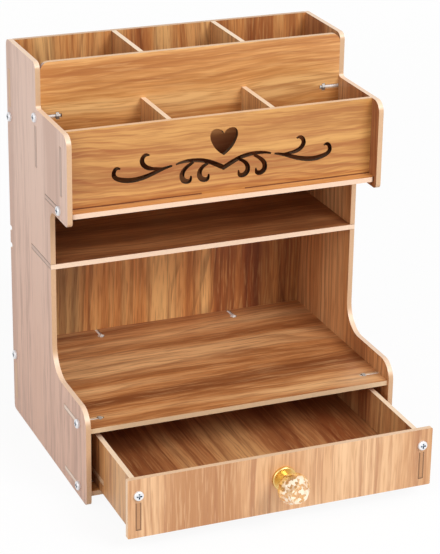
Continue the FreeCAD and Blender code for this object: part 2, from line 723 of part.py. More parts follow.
def drawer_end(label, y, half, low, high, radius, holes=()):
    # front and back both take the end tabs and the screws of the drawer sides
    outline = [(minus(half), low, radius), (half, low, radius), (half, high, radius), (minus(half), high, radius)]
    slots = []
    spots = list(holes)
    for sign in ("-", ""):
        slots.append(upright_slot(sign + "drawer_side", "drawer_tab", "drawer_tab_length"))
        spots.append((sign + "drawer_side", "drawer_screw", "screw_hole_radius"))
    return board(label, "XZ_Plane", "0", y, "0", outline, slots, spots)


def drawer_side_board(label, x):
    rear = minus("drawer_rear + board")
    front = minus("drawer_inner")
    low = "drawer_side_low"
    top = "drawer_side_top"
    outline = [(front, low, None), (rear, low, None)]
    outline += tab("right", rear, "drawer_tab", "drawer_tab_length")
    outline += nut_slot("right", rear, "drawer_screw")
    outline += [(rear, top, None), (front, top, None)]
    outline += nut_slot("left", front, "drawer_screw")
    outline += tab("left", front, "drawer_tab", "drawer_tab_length")
    slots = [across_slot("-drawer_floor_tab", "drawer_floor_level + board / 2", "drawer_floor_tab_length")]
    return board(label, "YZ_Plane", x, "drawer_zero", "0", outline, slots)


def drawer_bottom():
    half = "(drawer_box_half - board)"
    rear = minus("drawer_rear + board")
    front = minus("drawer_inner")
    outline = [(minus(half), front, None), (half, front, None)]
    outline += tab("right", half, "-drawer_floor_tab", "drawer_floor_tab_length")
    outline += [(half, rear, None), (minus(half), rear, None)]
    outline += tab("left", minus(half), "-drawer_floor_tab", "drawer_floor_tab_length")
    return board("drawer_bottom", "XY_Plane", "0", "drawer_zero", "drawer_floor_level", outline)


# ---- screws, nuts and knob ----

def screws(label, plane, x, y, z, head_ahead, spots, radius="screw_radius", length="screw_length"):
    # head_ahead: the heads stand on the side that the plane's normal points to
    body = new_body(label, x, y, z)
    body.AllowCompound = True
    heads = Drawing(body, label + "_heads", plane)
    shanks = Drawing(body, label + "_shanks", plane)
    recess = Drawing(body, label + "_recess", plane, "head_height" if head_ahead else "-head_height")
    for across, up in spots:
        heads.circle(across, up, "head_radius")
        shanks.circle(across, up, radius)
        recess.loop(cross(across, up))
    plain = pad(body, heads.finish(), "head_height", not head_ahead)
    doc.recompute()
    rounded = body.newObject("PartDesign::Fillet", label + "_rims")
    rounded.Base = (plain, rim_names(plain, head_ahead, plane))
    rounded.setExpression("Radius", linked("head_round"))
    body.Tip = rounded
    pad(body, shanks.finish(), length, head_ahead)
    doc.recompute()
    before = body.Shape.Volume
    cut = body.newObject("PartDesign::Pocket", label + "_crosses")
    cut.Profile = recess.finish()
    cut.Reversed = not head_ahead
    cut.setExpression("Length", linked("recess_depth"))
    body.Tip = cut
    doc.recompute()
    if body.Shape.Volume >= before:
        raise RuntimeError(label + ": the recess cuts nothing")
    return body


def rim_names(plain, head_ahead, plane):
    # outer rims of the heads, in the body's own frame
    outward = {"YZ_Plane": Vector(1, 0, 0), "XZ_Plane": Vector(0, -1, 0)}[plane]
    level = number("head_height") if head_ahead else -number("head_height")
    names = []
    for place, edge in enumerate(plain.Shape.Edges, start=1):
        if isinstance(edge.Curve, Part.Circle) and abs(edge.Curve.Center.dot(outward) - level) < 1e-6:
            names.append("Edge%d" % place)
    return names


def nuts(label, plane, x, y, z, spots):
    body = new_body(label, x, y, z)
    body.AllowCompound = True
    drawing = Drawing(body, label + "_faces", plane)
    for across, up, flats in spots:
        drawing.loop(hexagon(across, up, flats))
        drawing.circle(across, up, "nut_bore")
    pad(body, drawing.finish(), "nut_thickness")
    return body


def knob_collar():
    body = new_body("knob_collar", "0", "drawer_zero - drawer_line", "knob_height")
    drawing = Drawing(body, "knob_collar_profile", "YZ_Plane")
    drawing.loop([
        ("0", "thread_hole_radius", None),
        (minus("thread_bore_depth"), "thread_hole_radius", None),
        (minus("thread_bore_depth"), "0", None),
        (minus("cup_reach"), "0", None),
        (minus("cup_reach"), "cup_radius", None),
        (minus("neck_reach"), "neck_radius", None),
        (minus("flange_thickness"), "neck_radius", None),
        (minus("flange_thickness"), "flange_radius", "flange_round"),
        ("0", "flange_radius", None),
    ])
    turned = body.newObject("PartDesign::Revolution", "knob_collar_turned")
    turned.Profile = drawing.finish()
    turned.ReferenceAxis = (turned.Profile[0], ["H_Axis"])
    turned.Angle = 360
    body.Tip = turned
    return body


facets = 10    # round each ring of the crystal


def facet_ring(name, radius, reach, turn):
    ring = doc.addObject("Part::RegularPolygon", name)
    ring.Polygon = facets
    ring.setExpression("Circumradius", linked(radius))
    ring.setExpression("Placement.Base.z", linked(reach))
    ring.setExpression("Placement.Rotation.Angle", "%s" % turn)
    return ring


def cut_stone(name, turn, rings):
    # flat facets between rings of straight sides
    loft = doc.addObject("Part::Loft", name)
    loft.Sections = [facet_ring("%s_ring_%d" % (name, place), radius, reach, turn)
                     for place, (radius, reach) in enumerate(rings)]
    loft.Solid = True
    loft.Ruled = True
    return loft


def knob_crystal():
    seat = ("crystal_seat_radius", "cup_reach")
    table = ("crystal_table_radius", "knob_reach")
    main = cut_stone("crystal_main", 0, [
        seat, ("crystal_radius", "girdle_back"), ("crystal_radius", "girdle_front"), table])
    between = cut_stone("crystal_between", 180 / facets, [
        ("crystal_seat_radius + 0.8", "cup_reach"), ("crystal_radius", "girdle_back - 1.2"),
        ("crystal_radius", "girdle_front + 1.2"), ("crystal_table_radius + 1.4", "knob_reach")])
    stone = doc.addObject("Part::Common", "knob_crystal")
    stone.Label = "knob_crystal"
    stone.Base = main
    stone.Tool = between
    stone.Placement = Placement(Vector(0, 0, 0), Rotation(Vector(1, 0, 0), 90))
    place(stone, "0", "drawer_zero - drawer_line", "knob_height")
    nodes.append(stone)


side_panel("left_side_panel", minus("half_width"))
side_panel("right_side_panel", "inner")
back_panel()
rear_tier_wall()
divider("left_divider", "-")
divider("right_divider", "")
pocket_floor()
pocket_front()
middle_shelf()
desk_shelf()
base_board()

side_spots = [(across, up) for across, up, flats in side_screws]
screws("left_side_screws", "YZ_Plane", minus("half_width"), "half_length", "0", False, side_spots)
screws("right_side_screws", "YZ_Plane", "half_width", "half_length", "0", True, side_spots)
nuts("left_side_nuts", "YZ_Plane", "nut_reach - half_width", "half_length", "0", side_screws)
nuts("right_side_nuts", "YZ_Plane", "half_width - nut_reach - nut_thickness", "half_length", "0", side_screws)

desk_middle = "desk_level + board / 2"
behind = "half_length - back_inset"
screws("back_screws", "XZ_Plane", "0", behind, "0", False,
       [("-desk_back_screw", desk_middle), ("desk_back_screw", desk_middle)])
nuts("back_nuts", "XZ_Plane", "0", behind + " - nut_reach", "0",
     [("-desk_back_screw", desk_middle, 0), ("desk_back_screw", desk_middle, 0)])

drawer_end("drawer_front", "drawer_zero - drawer_inner", "drawer_front_half",
           "drawer_front_low", "drawer_front_top", "drawer_front_round",
           [("0", "knob_height", "thread_hole_radius")])
drawer_end("drawer_back", "drawer_zero - drawer_rear", "drawer_back_half",
           "drawer_back_low", "drawer_side_top", None)
drawer_side_board("drawer_left_side", "-drawer_box_half")
drawer_side_board("drawer_right_side", "drawer_box_half - board")
drawer_bottom()

drawer_spots = [(minus("drawer_side"), "drawer_screw"), ("drawer_side", "drawer_screw")]
drawer_nuts = [(across, up, 1) for across, up in drawer_spots]
drawer_face = "drawer_zero - drawer_line"
drawer_tail = "drawer_zero - drawer_rear"
screws("drawer_front_screws", "XZ_Plane", "0", drawer_face, "0", True, drawer_spots)
nuts("drawer_front_nuts", "XZ_Plane", "0", drawer_face + " + nut_reach + nut_thickness", "0", drawer_nuts)
screws("drawer_back_screws", "XZ_Plane", "0", drawer_tail, "0", False, drawer_spots)
nuts("drawer_back_nuts", "XZ_Plane", "0", drawer_tail + " - nut_reach", "0", drawer_nuts)

knob_collar()
knob_crystal()
screws("knob_screw", "XZ_Plane", "0", "drawer_zero - drawer_inner", "0", False,
       [("0", "knob_height")], "thread_radius", "thread_length")

doc.recompute()

for item in doc.Objects:
    if "Invalid" in item.State or "Error" in item.State:
        raise RuntimeError("%s failed: %s" % (item.Name, item.State))
for node in nodes:
    if node.Shape.isNull() or not node.Shape.isValid():
        raise RuntimeError("%s has no valid shape" % node.Label)

os.makedirs("parts", exist_ok=True)
for node in nodes:
    node.Shape.exportStep("parts/%s.step" % node.Label)
    box = node.Shape.BoundBox
    print("%-20s solids %2d  x %7.1f %7.1f  y %7.1f %7.1f  z %6.1f %6.1f" % (
        node.Label, len(node.Shape.Solids), box.XMin, box.XMax, box.YMin, box.YMax, box.ZMin, box.ZMax))
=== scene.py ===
import math
import bpy
from mathutils import Matrix, Vector


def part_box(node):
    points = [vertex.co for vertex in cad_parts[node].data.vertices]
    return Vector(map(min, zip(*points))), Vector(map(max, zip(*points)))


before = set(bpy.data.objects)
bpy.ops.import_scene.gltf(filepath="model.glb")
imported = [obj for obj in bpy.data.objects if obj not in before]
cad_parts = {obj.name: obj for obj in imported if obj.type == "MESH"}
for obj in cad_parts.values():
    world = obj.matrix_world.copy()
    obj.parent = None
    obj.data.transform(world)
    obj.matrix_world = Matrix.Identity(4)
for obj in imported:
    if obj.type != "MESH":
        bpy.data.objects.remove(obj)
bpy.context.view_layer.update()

print("frame loaded:", len(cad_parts), "nodes")


class Wire:
    # one shader socket that can be used in plain sums

    def __init__(self, paint, socket):
        self.paint = paint
        self.socket = socket

    def __add__(self, other):
        return self.paint.maths("ADD", self, other)

    def __radd__(self, other):
        return self.paint.maths("ADD", other, self)

    def __sub__(self, other):
        return self.paint.maths("SUBTRACT", self, other)

    def __rsub__(self, other):
        return self.paint.maths("SUBTRACT", other, self)

    def __mul__(self, other):
        return self.paint.maths("MULTIPLY", self, other)

    def __rmul__(self, other):
        return self.paint.maths("MULTIPLY", other, self)

    def __gt__(self, other):
        return self.paint.maths("GREATER_THAN", self, other)

    def __lt__(self, other):
        return self.paint.maths("LESS_THAN", self, other)

    def __abs__(self):
        return self.paint.maths("ABSOLUTE", self)


class Paint:
    # the nodes of one material, or of the world

    def __init__(self, owner):
        self.owner = owner
        owner.use_nodes = True
        self.tree = owner.node_tree
        self.tree.nodes.clear()

    def node(self, kind, settings=None, inputs=None, output=0):
        # output is the socket to hand back, or None for a node that has none
        made = self.tree.nodes.new(kind)
        for key, value in (settings or {}).items():
            if key == "stops":
                self.fillRamp(made.color_ramp, value)
            else:
                setattr(made, key, value)
        for key, value in (inputs or {}).items():
            if isinstance(value, Wire):
                self.tree.links.new(value.socket, made.inputs[key])
            else:
                made.inputs[key].default_value = value
        return None if output is None else Wire(self, made.outputs[output])

    def fillRamp(self, ramp, stops):
        while len(ramp.elements) < len(stops):
            ramp.elements.new(0.5)
        for element, (place, shade) in zip(ramp.elements, stops):
            element.position = place
            element.color = (*shade, 1)

    def maths(self, operation, first, second=None):
        given = {0: first} if second is None else {0: first, 1: second}
        return self.node("ShaderNodeMath", {"operation": operation}, given)

    def mix(self, factor, first, second):
        first = (*first, 1) if isinstance(first, tuple) else first
        second = (*second, 1) if isinstance(second, tuple) else second
        given = {0: factor, 6: first, 7: second}
        return self.node("ShaderNodeMix", {"data_type": "RGBA"}, given, 2)

    def vector(self, operation, first, second):
        return self.node("ShaderNodeVectorMath", {"operation": operation}, {0: first, 1: second})

    def split(self, vector, axis):
        return self.node("ShaderNodeSeparateXYZ", None, {0: vector}, axis)

    def join(self, x, y, z):
        return self.node("ShaderNodeCombineXYZ", None, {0: x, 1: y, 2: z})

    def spot(self):
        # place on the object, in metres
        return self.node("ShaderNodeTexCoord", None, None, "Object")

    def facing(self):
        # the way the surface faces, along the object's own axes
        return self.node("ShaderNodeTexCoord", None, None, "Normal")

    def noise(self, place, scale, detail, roughness=0.5):
        return self.node("ShaderNodeTexNoise", {"noise_dimensions": "3D"}, {
            "Vector": place, "Scale": scale, "Detail": detail, "Roughness": roughness})

    def smooth(self, value, low, high, toLow=0.0, toHigh=1.0):
        # eases from toLow to toHigh while the value goes from low to high
        return self.node("ShaderNodeMapRange", {"interpolation_type": "SMOOTHSTEP"}, {
            "Value": value, "From Min": low, "From Max": high, "To Min": toLow, "To Max": toHigh})

    def bump(self, height, strength, distance):
        return self.node("ShaderNodeBump", None, {
            "Height": height, "Strength": strength, "Distance": distance})

    def finish(self, shader, outputNode="ShaderNodeOutputMaterial"):
        self.node(outputNode, None, {"Surface": shader}, None)
        return self.owner

    def finishPrincipled(self, inputs):
        return self.finish(self.node("ShaderNodeBsdfPrincipled", None, inputs))


def newPaint(name):
    return Paint(bpy.data.materials.new(name))


def srgb(red, green, blue):
    # screen colour, 0 to 255, as the linear value that nodes take
    def linear(part):
        part /= 255
        return part / 12.92 if part <= 0.04045 else ((part + 0.055) / 1.055) ** 2.4
    return (linear(red), linear(green), linear(blue))


def darker(colour, share):
    return tuple(part * share for part in colour)


def dress(node, material):
    target = bpy.data.objects[node]
    target.data.materials.clear()
    target.data.materials.append(material)


# Boards of wood-print laminate. The print is layers of noise stretched along the grain:
# broad bands, growth rings that close up into flames, streaks, hair lines and fibres.
laminate = {
    # name: (changes per metre in the first and second direction, start, detail, roughness)
    "layers": {
        "wander": (3.0, 6.0, 0.0, 2.0, 0.4),       # the grain's slow swing, along it first
        "ripple": (15.0, 26.0, 5.0, 2.0, 0.5),     # its short waves, along it first
        "bands": (1.0, 1.4, 0.0, 2.0, 0.55),       # across first from here on; times board's bands
        "flames": (15.0, 4.5, 3.0, 2.0, 0.45),
        "patches": (48.0, 3.0, 7.0, 2.0, 0.5),
        "streaks": (150.0, 3.0, 11.0, 3.0, 0.65),
        "hairs": (420.0, 7.0, 17.0, 2.0, 0.5),
        "fibres": (640.0, 34.0, 0.0, 2.0, 0.6),
    },
    # name: (where the layer starts to show, where it shows fully, how strongly)
    "shows": {
        "darkStreaks": (0.47, 0.35, 0.9),
        "lightStreaks": (0.55, 0.7, 0.4),
        "darkHairs": (0.45, 0.36, 0.6),
        "darkFibres": (0.5, 0.34, 0.42),
        "lightFibres": (0.52, 0.66, 0.3),
    },
    "throughBoard": 6.0,          # changes per metre through the thickness
    "swing": 0.02,                # how far the grain wanders from side to side, in metres
    "tonePlaces": (0.36, 0.49, 0.62),
    "ringRise": (0.42, 0.86),     # a ring darkens slowly towards its late wood
    "ringFall": (1.0, 0.9),       # and ends sharply
    "ringPatches": (0.38, 0.6),
    "streakRelief": 0.6,
    "fibreRelief": 0.4,
    "roughness": (0.36, 0.48),
    "roughFrom": (0.2, 0.8),      # relief at the glossiest and the dullest place
    "bumpStrength": 0.1,
    "bumpDepth": 0.0003,
    "turned": 0.5,                # a surface belongs to an axis when it faces it by more than this
    # painted shade: the print where shade falls in the pockets, and darker still at their floor
    "paintedShade": srgb(120, 64, 40),
    "paintedDarkShade": srgb(64, 30, 17),
    # painted shade in the gap under the pocket front's foot
    "seamShade": srgb(104, 48, 20),
}


def axisOf(letter):
    return "XYZ".index(letter)


def printLayer(paint, name, first, second, depth):
    perFirst, perSecond, start, detail, roughness = laminate["layers"][name]
    place = paint.join(first * perFirst, second * perSecond, depth + start)
    return paint.noise(place, 1.0, detail, roughness)


def layOver(paint, wood, layer, name, tone, contrast=1.0):
    start, full, strength = laminate["shows"][name]
    return paint.mix(paint.smooth(layer, start, full) * (contrast * strength), wood, tone)


def laminateFigure(paint, board):
    # returns the wood colour of a board's wide faces and the relief of its print
    faceAxis = axisOf(board["faces"])
    grainAxis = axisOf(board["grain"])
    acrossAxis = 3 - faceAxis - grainAxis
    moved = paint.vector("ADD", paint.spot(), board["shift"])
    along = paint.split(moved, grainAxis)
    across = paint.split(moved, acrossAxis)
    depth = paint.split(moved, faceAxis) * laminate["throughBoard"]
    wander = printLayer(paint, "wander", along, across, depth) - 0.5
    ripple = printLayer(paint, "ripple", along, across, depth) - 0.5
    bent = across + wander * laminate["swing"] + ripple * board["ripple"]

    # broad light and dark bands
    dark, middle, light = board["tones"]
    bands = printLayer(paint, "bands", bent * board["bands"], along, depth)
    stops = list(zip(laminate["tonePlaces"], (dark, middle, light)))
    wood = paint.node("ShaderNodeValToRGB", {"stops": stops}, {0: bands})

    # growth rings: thin lines that show in patches and close up into flames
    flames = printLayer(paint, "flames", bent, along, depth)
    rings = paint.maths("FRACT", bent * board["rings"] + flames * board["flames"])
    late = paint.smooth(rings, *laminate["ringRise"]) * paint.smooth(rings, *laminate["ringFall"])
    patches = printLayer(paint, "patches", bent, along, depth)
    lines = late * paint.smooth(patches, *laminate["ringPatches"])
    wood = paint.mix(lines * board["contrast"], wood, board["line"])

    # streaks of uneven width, hair lines between them and fibres over all
    streaks = printLayer(paint, "streaks", bent, along, depth)
    hairs = printLayer(paint, "hairs", bent, along, depth)
    fibres = printLayer(paint, "fibres", bent, along, depth)
    wood = layOver(paint, wood, streaks, "darkStreaks", board["line"], board["contrast"])
    wood = layOver(paint, wood, streaks, "lightStreaks", light)
    wood = layOver(paint, wood, hairs, "darkHairs", board["line"], board["contrast"])
    wood = layOver(paint, wood, fibres, "darkFibres", dark)
    wood = layOver(paint, wood, fibres, "lightFibres", light)
    return wood, streaks * laminate["streakRelief"] + fibres * laminate["fibreRelief"]


def shadeByHeight(paint, wood, shades):
    # painted shade: the print darkens from one height to another
    for start, end, strength, shade in shades:
        height = paint.split(paint.spot(), 2)
        wood = paint.mix(paint.smooth(height, start, end) * strength, wood, laminate[shade])
    return wood


def shadeCorners(paint, wood, corners, towards):
    # painted shade: under the pockets the front face darkens towards the side panels
    below = paint.split(paint.spot(), 2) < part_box("pocket_floor")[0][2]
    front = (towards[1] < -laminate["turned"]) * below
    for start, end, strength in corners:
        corner = paint.smooth(paint.split(paint.spot(), 0), start, end) * front
        wood = paint.mix(corner * strength, wood, laminate["paintedDarkShade"])
    return wood


# outer faces of the side panels, paled by a painted whitish sheen
outerFace = {
    "pale": srgb(216, 183, 165),
    "low": srgb(200, 150, 120),
    "streak": srgb(160, 116, 94),
    "tabEnd": srgb(200, 166, 148),
    "lowHeights": (0.3, 0.02),      # the painted sheen gives way to the darker low tone between these, in metres
    "lowShare": 0.6,
    "streaksFrom": (0.52, 0.36),    # relief where the print starts to show and shows fully
    "streakShare": 0.35,
    "streakMoreLow": 0.4,           # and this much more near the foot
    "cloudAcross": 34.0,            # wide soft streaks, changes per metre
    "cloudAlong": 2.2,
    "cloudsFrom": (0.5, 0.66),
    "cloudShare": 0.4,
}


def sheenOuterFace(paint, wood, relief, side, towards):
    # painted sheen: the outer face carries the same print, paled as if catching white light at a
    # slant; side is -1 on the left, 1 on the right
    spot = paint.spot()
    low = paint.smooth(paint.split(spot, 2), *outerFace["lowHeights"])
    pale = paint.mix(low * outerFace["lowShare"], outerFace["pale"], outerFace["low"])
    share = outerFace["streakShare"] + low * outerFace["streakMoreLow"]
    faint = paint.smooth(relief, *outerFace["streaksFrom"]) * share
    pale = paint.mix(faint, pale, outerFace["streak"])
    across = paint.split(spot, 1) * outerFace["cloudAcross"]
    along = paint.split(spot, 2) * outerFace["cloudAlong"]
    clouds = paint.noise(paint.join(0.0, across, along), 1.0, 3.0)
    clouds = paint.smooth(clouds, *outerFace["cloudsFrom"]) * outerFace["cloudShare"]
    pale = paint.mix(clouds, pale, outerFace["streak"])
    return paint.mix(towards[0] * side > laminate["turned"], wood, pale)


cutEdges = {
    "grit": 700.0,              # grains per metre in the bare core
    "gritShare": 0.5,
    "gritDark": 0.72,
    "crestFrom": (0.2, 0.6),    # how far upwards an edge looks when it starts to pale and is pale
    "crestShare": 0.85,
    "endGritShare": 0.6,
    "endGritDark": 0.7,
    "endScorch": 0.3,
    "rimFrom": 0.00112,         # scorched rim of a tab end, in from its faces, in metres
    "rimFull": 0.00042,
    "footFrom": 0.0018,         # and painted shade up from the slot's foot
    "footFull": 0.0004,
    "burnt": srgb(20, 7, 4),
}


def tabEnd(paint, node, board, grit):
    # tab ends lie flush in the board they pass through, with a scorched rim, and painted shade at
    # the slot's foot where the board gives one
    tone = board["endTone"]
    thick = axisOf(board["faces"])
    low, high = (corner[thick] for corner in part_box(node))
    half = (high - low) / 2
    fromMiddle = abs(paint.split(paint.spot(), thick) - (low + high) / 2)
    rim = paint.smooth(fromMiddle, half - cutEdges["rimFrom"], half - cutEdges["rimFull"])
    if "foot" in board:
        # painted shade: the rim goes on round the foot of the slot
        height = paint.split(paint.spot(), 2)
        start = board["foot"] + cutEdges["footFrom"]
        full = board["foot"] + cutEdges["footFull"]
        foot = paint.smooth(height, start, full)
        rim = paint.maths("MAXIMUM", rim, foot)
    end = paint.mix(grit * cutEdges["endGritShare"], tone, darker(tone, cutEdges["endGritDark"]))
    return paint.mix(rim * board["endRim"], end, darker(tone, cutEdges["endScorch"]))


def cutEdge(paint, node, board, towards):
    # cut edges show the board's pale core, a little darker where the cutter paused
    spot = paint.spot()
    grit = paint.noise(spot, cutEdges["grit"], 2.0)
    dark = darker(board["edge"], cutEdges["gritDark"])
    edge = paint.mix(grit * cutEdges["gritShare"], board["edge"], dark)
    if "crest" in board:
        # painted highlight: edges that look upwards are paler than the upright ones, as if lit
        # from above
        crest = paint.smooth(towards[2], *cutEdges["crestFrom"])
        edge = paint.mix(crest * cutEdges["crestShare"], edge, board["crest"])
    if "ends" in board:
        turned = abs(towards[axisOf(board["ends"])]) > laminate["turned"]
        edge = paint.mix(turned, edge, tabEnd(paint, node, board, grit))
    if "burnt" in board:
        # walls of the heart and scrolls are scorched by the cutting, and painted near black as the
        # shade inside the narrow cuts
        side, low, high = board["burnt"]
        inside = (abs(paint.split(spot, 0)) < side) * (paint.split(spot, 2) > low)
        inside = inside * (paint.split(spot, 2) < high)
        edge = paint.mix(inside, edge, cutEdges["burnt"])
    return edge


pocketFoot = {
    "floorFrom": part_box("pocket_front_panel")[0][1],    # front of the pockets, in metres
    "floorFade": 0.0005,
    "floorShare": 0.72,
    "seamFrom": 0.2261,         # heights where the painted shade line at the foot starts and is full
    "seamFull": 0.2254,
    "seamShare": 0.95,
    "unshadedMiddle": 0.001,       # the painted shade line leaves out a stretch round here, where the tab goes down
    "unshadedHalf": 0.018,
}


def shadePocketFloor(paint, wood, towards):
    # painted shade on the top of the floor board inside the pockets, none in front of them
    start = pocketFoot["floorFrom"]
    inside = paint.smooth(paint.split(paint.spot(), 1), start, start + pocketFoot["floorFade"])
    inside = inside * (towards[2] > laminate["turned"])
    return paint.mix(inside * pocketFoot["floorShare"], wood, laminate["paintedDarkShade"])


def seamAtFoot(paint, wood):
    # painted shade: dark line where the pocket front stands on the floor board
    spot = paint.spot()
    low = paint.smooth(paint.split(spot, 2), pocketFoot["seamFrom"], pocketFoot["seamFull"])
    aside = abs(paint.split(spot, 0) - pocketFoot["unshadedMiddle"]) > pocketFoot["unshadedHalf"]
    return paint.mix(low * aside * pocketFoot["seamShare"], wood, laminate["seamShade"])


def laminatePaint(node, board):
    paint = newPaint(node + "_laminate")
    wood, relief = laminateFigure(paint, board)
    facing = paint.facing()
    towards = [paint.split(facing, axis) for axis in range(3)]
    wood = shadeByHeight(paint, wood, board.get("shades", []))
    if "corners" in board:
        wood = shadeCorners(paint, wood, board["corners"], towards)
    if "outside" in board:
        wood = sheenOuterFace(paint, wood, relief, board["outside"], towards)
    if node == "pocket_floor":
        wood = shadePocketFloor(paint, wood, towards)
    if node == "pocket_front_panel":
        wood = seamAtFoot(paint, wood)
    cut = abs(towards[axisOf(board["faces"])]) < laminate["turned"]
    return paint.finishPrincipled({
        "Base Color": paint.mix(cut, wood, cutEdge(paint, node, board, towards)),
        "Roughness": paint.smooth(relief, *laminate["roughFrom"], *laminate["roughness"]),
        "Normal": paint.bump(relief, laminate["bumpStrength"], laminate["bumpDepth"]),
    })


# tones are dark, middle and light
golden = (srgb(184, 116, 54), srgb(220, 156, 90), srgb(238, 184, 118))
goldenLine = srgb(152, 78, 28)
brown = (srgb(148, 88, 50), srgb(192, 134, 84), srgb(214, 162, 106))
brownLine = srgb(102, 46, 20)
cream = srgb(243, 212, 184)
paleCream = srgb(253, 225, 193)
tan = srgb(212, 172, 134)
lowerTabEnd = srgb(232, 206, 186)

# painted shade: the pockets get darker towards their floor
pocketShades = [(0.262, 0.244, 0.8, "paintedShade"), (0.242, 0.23, 0.65, "paintedDarkShade")]

sidePanel = {
    "faces": "X", "grain": "Z", "line": brownLine, "edge": tan, "crest": cream,
    "bands": 26.0, "flames": 5.0, "ripple": 0.003,
    "shades": [(0.226, 0.236, 0.25, "paintedShade")],
}
divider = {
    "faces": "X", "grain": "Z", "tones": brown, "line": brownLine, "edge": paleCream,
    "bands": 26.0, "rings": 140.0, "flames": 4.0, "contrast": 0.4, "ripple": 0.003,
    "shades": pocketShades,
}
drawerSide = {
    "faces": "X", "grain": "Z", "tones": brown, "line": brownLine, "edge": paleCream,
    "bands": 28.0, "rings": 130.0, "flames": 4.0, "contrast": 0.45, "ripple": 0.003,
    "ends": "Y", "endTone": srgb(192, 140, 96), "endRim": 0.75, "foot": 0.0175,
}

# faces and grain: the axis that the wide faces look along and the one the grain runs along
# bands and rings: how many per metre across; flames: how far the rings close up
# contrast: how strong the lines are; ripple: how far the grain waves, in metres
# shift: which stretch of the print the board is cut from
# ends: the axis that the tab ends look along; endRim: how scorched their rim is
# outside: the way the outer face with its painted sheen looks; foot: height of the tabs' foot,
# where painted shade lines the slot, in metres
# shades and corners: painted shade, (where it starts, where it is full, strength), up and across
# burnt: half the width of the cut-out ornament, its lowest and its highest point
boards = {
    "left_side_panel": {
        **sidePanel, "tones": brown,
        "rings": 120.0, "contrast": 0.55, "shift": (0.02, 1.4, 0.26), "outside": -1.0},
    "right_side_panel": {
        **sidePanel, "tones": (srgb(158, 98, 58), srgb(208, 146, 92), srgb(228, 174, 120)),
        "rings": 125.0, "contrast": 0.5, "shift": (0.63, 0.0, 1.42), "outside": 1.0},
    "back_panel": {
        "faces": "Y", "grain": "Z", "line": brownLine, "edge": tan,
        "tones": (srgb(158, 84, 38), srgb(228, 156, 88), srgb(253, 200, 130)),
        "bands": 34.0, "rings": 110.0, "flames": 8.0, "contrast": 0.42, "ripple": 0.003,
        "shift": (1.47, 0.2, 1.01), "shades": [(0.272, 0.296, 0.26, "paintedShade")],
        "corners": [(-0.062, -0.08, 0.38), (0.074, 0.09, 0.4)]},
    "rear_tier_wall": {
        "faces": "Y", "grain": "X", "tones": golden, "line": goldenLine,
        "edge": srgb(228, 188, 146),
        "bands": 44.0, "rings": 150.0, "flames": 7.0, "contrast": 0.38, "ripple": 0.007,
        "shift": (0.74, 0.81, 1.36), "shades": pocketShades,
        "ends": "X", "endTone": outerFace["tabEnd"], "endRim": 0.8},
    "left_divider": {**divider, "shift": (0.9, 0.1, 0.3)},
    "right_divider": {**divider, "shift": (0.4, 0.8, 0.5)},
    "pocket_front_panel": {
        "faces": "Y", "grain": "X", "line": goldenLine, "edge": srgb(236, 196, 156),
        "tones": (srgb(156, 96, 44), srgb(190, 132, 68), srgb(218, 164, 94)),
        "bands": 34.0, "rings": 150.0, "flames": 10.0, "contrast": 0.52, "ripple": 0.008,
        "shift": (0.15, 0.53, 0.58), "burnt": (0.0985, 0.2275, 0.2815),
        "ends": "X", "endTone": outerFace["tabEnd"], "endRim": 0.8},
    "pocket_floor": {
        "faces": "Z", "grain": "X", "tones": golden, "line": goldenLine,
        "edge": srgb(238, 204, 176),
        "bands": 28.0, "rings": 140.0, "flames": 5.0, "contrast": 0.45, "ripple": 0.004,
        "shift": (0.7, 0.1, 0.2),
        "ends": "X", "endTone": outerFace["tabEnd"], "endRim": 0.8},
    "middle_shelf": {
        "faces": "Z", "grain": "X", "line": brownLine, "edge": cream,
        # darker tones, partly the print and partly painted shade under the pocket floor above
        "tones": (srgb(120, 69, 37), srgb(168, 111, 68), srgb(202, 147, 97)),
        "bands": 28.0, "rings": 130.0, "flames": 6.0, "contrast": 0.5, "ripple": 0.005,
        "shift": (0.34, 0.37, 0.35),
        "ends": "X", "endTone": outerFace["tabEnd"], "endRim": 0.6},
    "desk_shelf": {
        "faces": "Z", "grain": "X", "line": srgb(120, 62, 28), "edge": srgb(222, 190, 152),
        "tones": (srgb(134, 76, 38), srgb(194, 128, 74), srgb(236, 184, 128)),
        "bands": 34.0, "rings": 60.0, "flames": 7.0, "contrast": 0.34, "ripple": 0.006,
        "shift": (1.27, 1.07, 0.81),
        "ends": "X", "endTone": lowerTabEnd, "endRim": 0.55},
    "base_board": {
        "faces": "Z", "grain": "X", "tones": golden, "line": goldenLine, "edge": tan,
        "bands": 28.0, "rings": 120.0, "flames": 5.0, "contrast": 0.5, "ripple": 0.004,
        "shift": (0.8, 0.5, 0.6),
        "ends": "X", "endTone": lowerTabEnd, "endRim": 0.55},
    "drawer_front": {
        "faces": "Y", "grain": "Z", "line": srgb(160, 102, 66), "edge": srgb(236, 200, 164),
        "tones": (srgb(184, 130, 86), srgb(213, 164, 119), srgb(233, 191, 147)),
        "bands": 16.0, "rings": 130.0, "flames": 4.0, "contrast": 0.5, "ripple": 0.002,
        "shift": (1.0, 1.01, 1.02)},
    "drawer_left_side": {**drawerSide, "shift": (1.24, 1.32, 1.3)},
    "drawer_right_side": {**drawerSide, "shift": (0.65, 0.75, 0.45)},
    "drawer_bottom": {
        "faces": "Z", "grain": "Y", "line": srgb(116, 50, 24), "edge": tan,
        "tones": (srgb(146, 82, 44), srgb(192, 128, 78), srgb(216, 160, 104)),
        "bands": 26.0, "rings": 110.0, "flames": 5.0, "contrast": 0.5, "ripple": 0.004,
        "shift": (0.61, 0.95, 0.68)},
    "drawer_back": {
        "faces": "Y", "grain": "Z", "tones": brown, "line": brownLine, "edge": cream,
        "bands": 28.0, "rings": 130.0, "flames": 4.0, "contrast": 0.45, "ripple": 0.003,
        "shift": (0.05, 0.95, 0.65)},
}
for node, board in boards.items():
    dress(node, laminatePaint(node, board))
